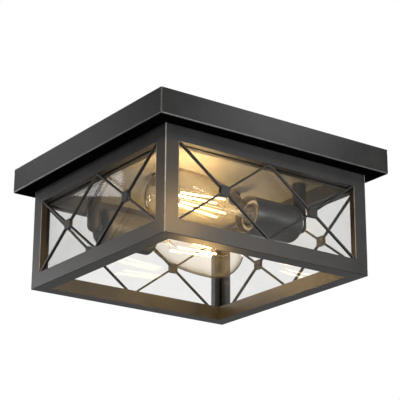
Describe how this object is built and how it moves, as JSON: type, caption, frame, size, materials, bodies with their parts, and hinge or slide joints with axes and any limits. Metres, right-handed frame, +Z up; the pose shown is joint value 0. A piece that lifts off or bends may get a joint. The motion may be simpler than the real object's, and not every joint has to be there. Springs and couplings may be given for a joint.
{
  "type": "porch ceiling lantern",
  "caption": "Square flush-mount porch ceiling lantern: folded ceiling pan, glazed box frame with crossed window bars, open bottom and horizontal screw-in filament bulbs.",
  "frame": {"origin": "centre of the ceiling plane, in the middle of the mounting crossbar's upper face", "axes": "+Z up into the ceiling, so the lantern hangs towards -Z; the front window faces -Y; the lamps lie along X"},
  "size_m": [0.305, 0.305, 0.145],
  "materials": {
    "black_metal": "satin black powder coat",
    "window_glass": "clear sheet glass",
    "zinc_steel": "zinc plated",
    "green_screw": "green dyed steel",
    "ceramic": "opaque ivory glazed ceramic",
    "brass": "bright",
    "bulb_glass": "clear",
    "bulb_metal": "bright nickel plate",
    "insulator": "black vitreous glass",
    "filament": "yellow silicone coated"
  },
  "bodies": {
    "lantern": {"canopy_pan": "black_metal", "top_rail_front": "black_metal", "top_rail_right": "black_metal", "top_rail_back": "black_metal", "top_rail_left": "black_metal", "bottom_rail_front": "black_metal", "bottom_rail_right": "black_metal", "bottom_rail_back": "black_metal", "bottom_rail_left": "black_metal", "corner_post_front_left": "black_metal", "corner_post_front_right": "black_metal", "corner_post_back_right": "black_metal", "corner_post_back_left": "black_metal", "lattice_bars_front": "black_metal", "lattice_bars_right": "black_metal", "lattice_bars_back": "black_metal", "lattice_bars_left": "black_metal", "lattice_blocks_front": "black_metal", "lattice_blocks_right": "black_metal", "lattice_blocks_back": "black_metal", "lattice_blocks_left": "black_metal", "lamp_post_back": "black_metal", "lamp_post_front": "black_metal", "socket_cup_back": "black_metal", "socket_cup_front": "black_metal", "glass_pane_front": "window_glass", "glass_pane_right": "window_glass", "glass_pane_back": "window_glass", "glass_pane_left": "window_glass", "mounting_crossbar": "zinc_steel", "mounting_studs": "zinc_steel", "stud_nuts": "zinc_steel", "frame_screws": "zinc_steel", "threaded_nipples": "zinc_steel", "nipple_nuts": "zinc_steel", "post_washers": "zinc_steel", "ground_screw": "green_screw", "lamp_holder_back": "ceramic", "lamp_holder_front": "ceramic", "screw_shell_back": "brass", "screw_shell_front": "brass", "contact_spring_back": "brass", "contact_spring_front": "brass"},
    "bulb_front": {"bulb_glass_front": "bulb_glass", "bulb_stem_front": "bulb_glass", "bulb_filaments_front": "filament", "bulb_wires_front": "bulb_metal", "bulb_base_front": "bulb_metal", "bulb_insulator_front": "insulator", "bulb_tip_front": "brass"},
    "bulb_back": {"bulb_glass_back": "bulb_glass", "bulb_stem_back": "bulb_glass", "bulb_filaments_back": "filament", "bulb_wires_back": "bulb_metal", "bulb_base_back": "bulb_metal", "bulb_insulator_back": "insulator", "bulb_tip_back": "brass"},
    "cap_nut_left": {"cap_nut_left": "black_metal"},
    "cap_nut_right": {"cap_nut_right": "black_metal"}
  },
  "joints": [
    {"name": "bulb_front_unscrew", "type": "slide", "parent": "lantern", "child": "bulb_front", "axis": [-1, 0, 0], "range_m": [0, 0.0145]},
    {"name": "bulb_back_unscrew", "type": "slide", "parent": "lantern", "child": "bulb_back", "axis": [1, 0, 0], "range_m": [0, 0.0145]},
    {"name": "cap_nut_left_unscrew", "type": "slide", "parent": "lantern", "child": "cap_nut_left", "axis": [0, 0, -1], "range_m": [0, 0.012]},
    {"name": "cap_nut_right_unscrew", "type": "slide", "parent": "lantern", "child": "cap_nut_right", "axis": [0, 0, -1], "range_m": [0, 0.012]}
  ]
}
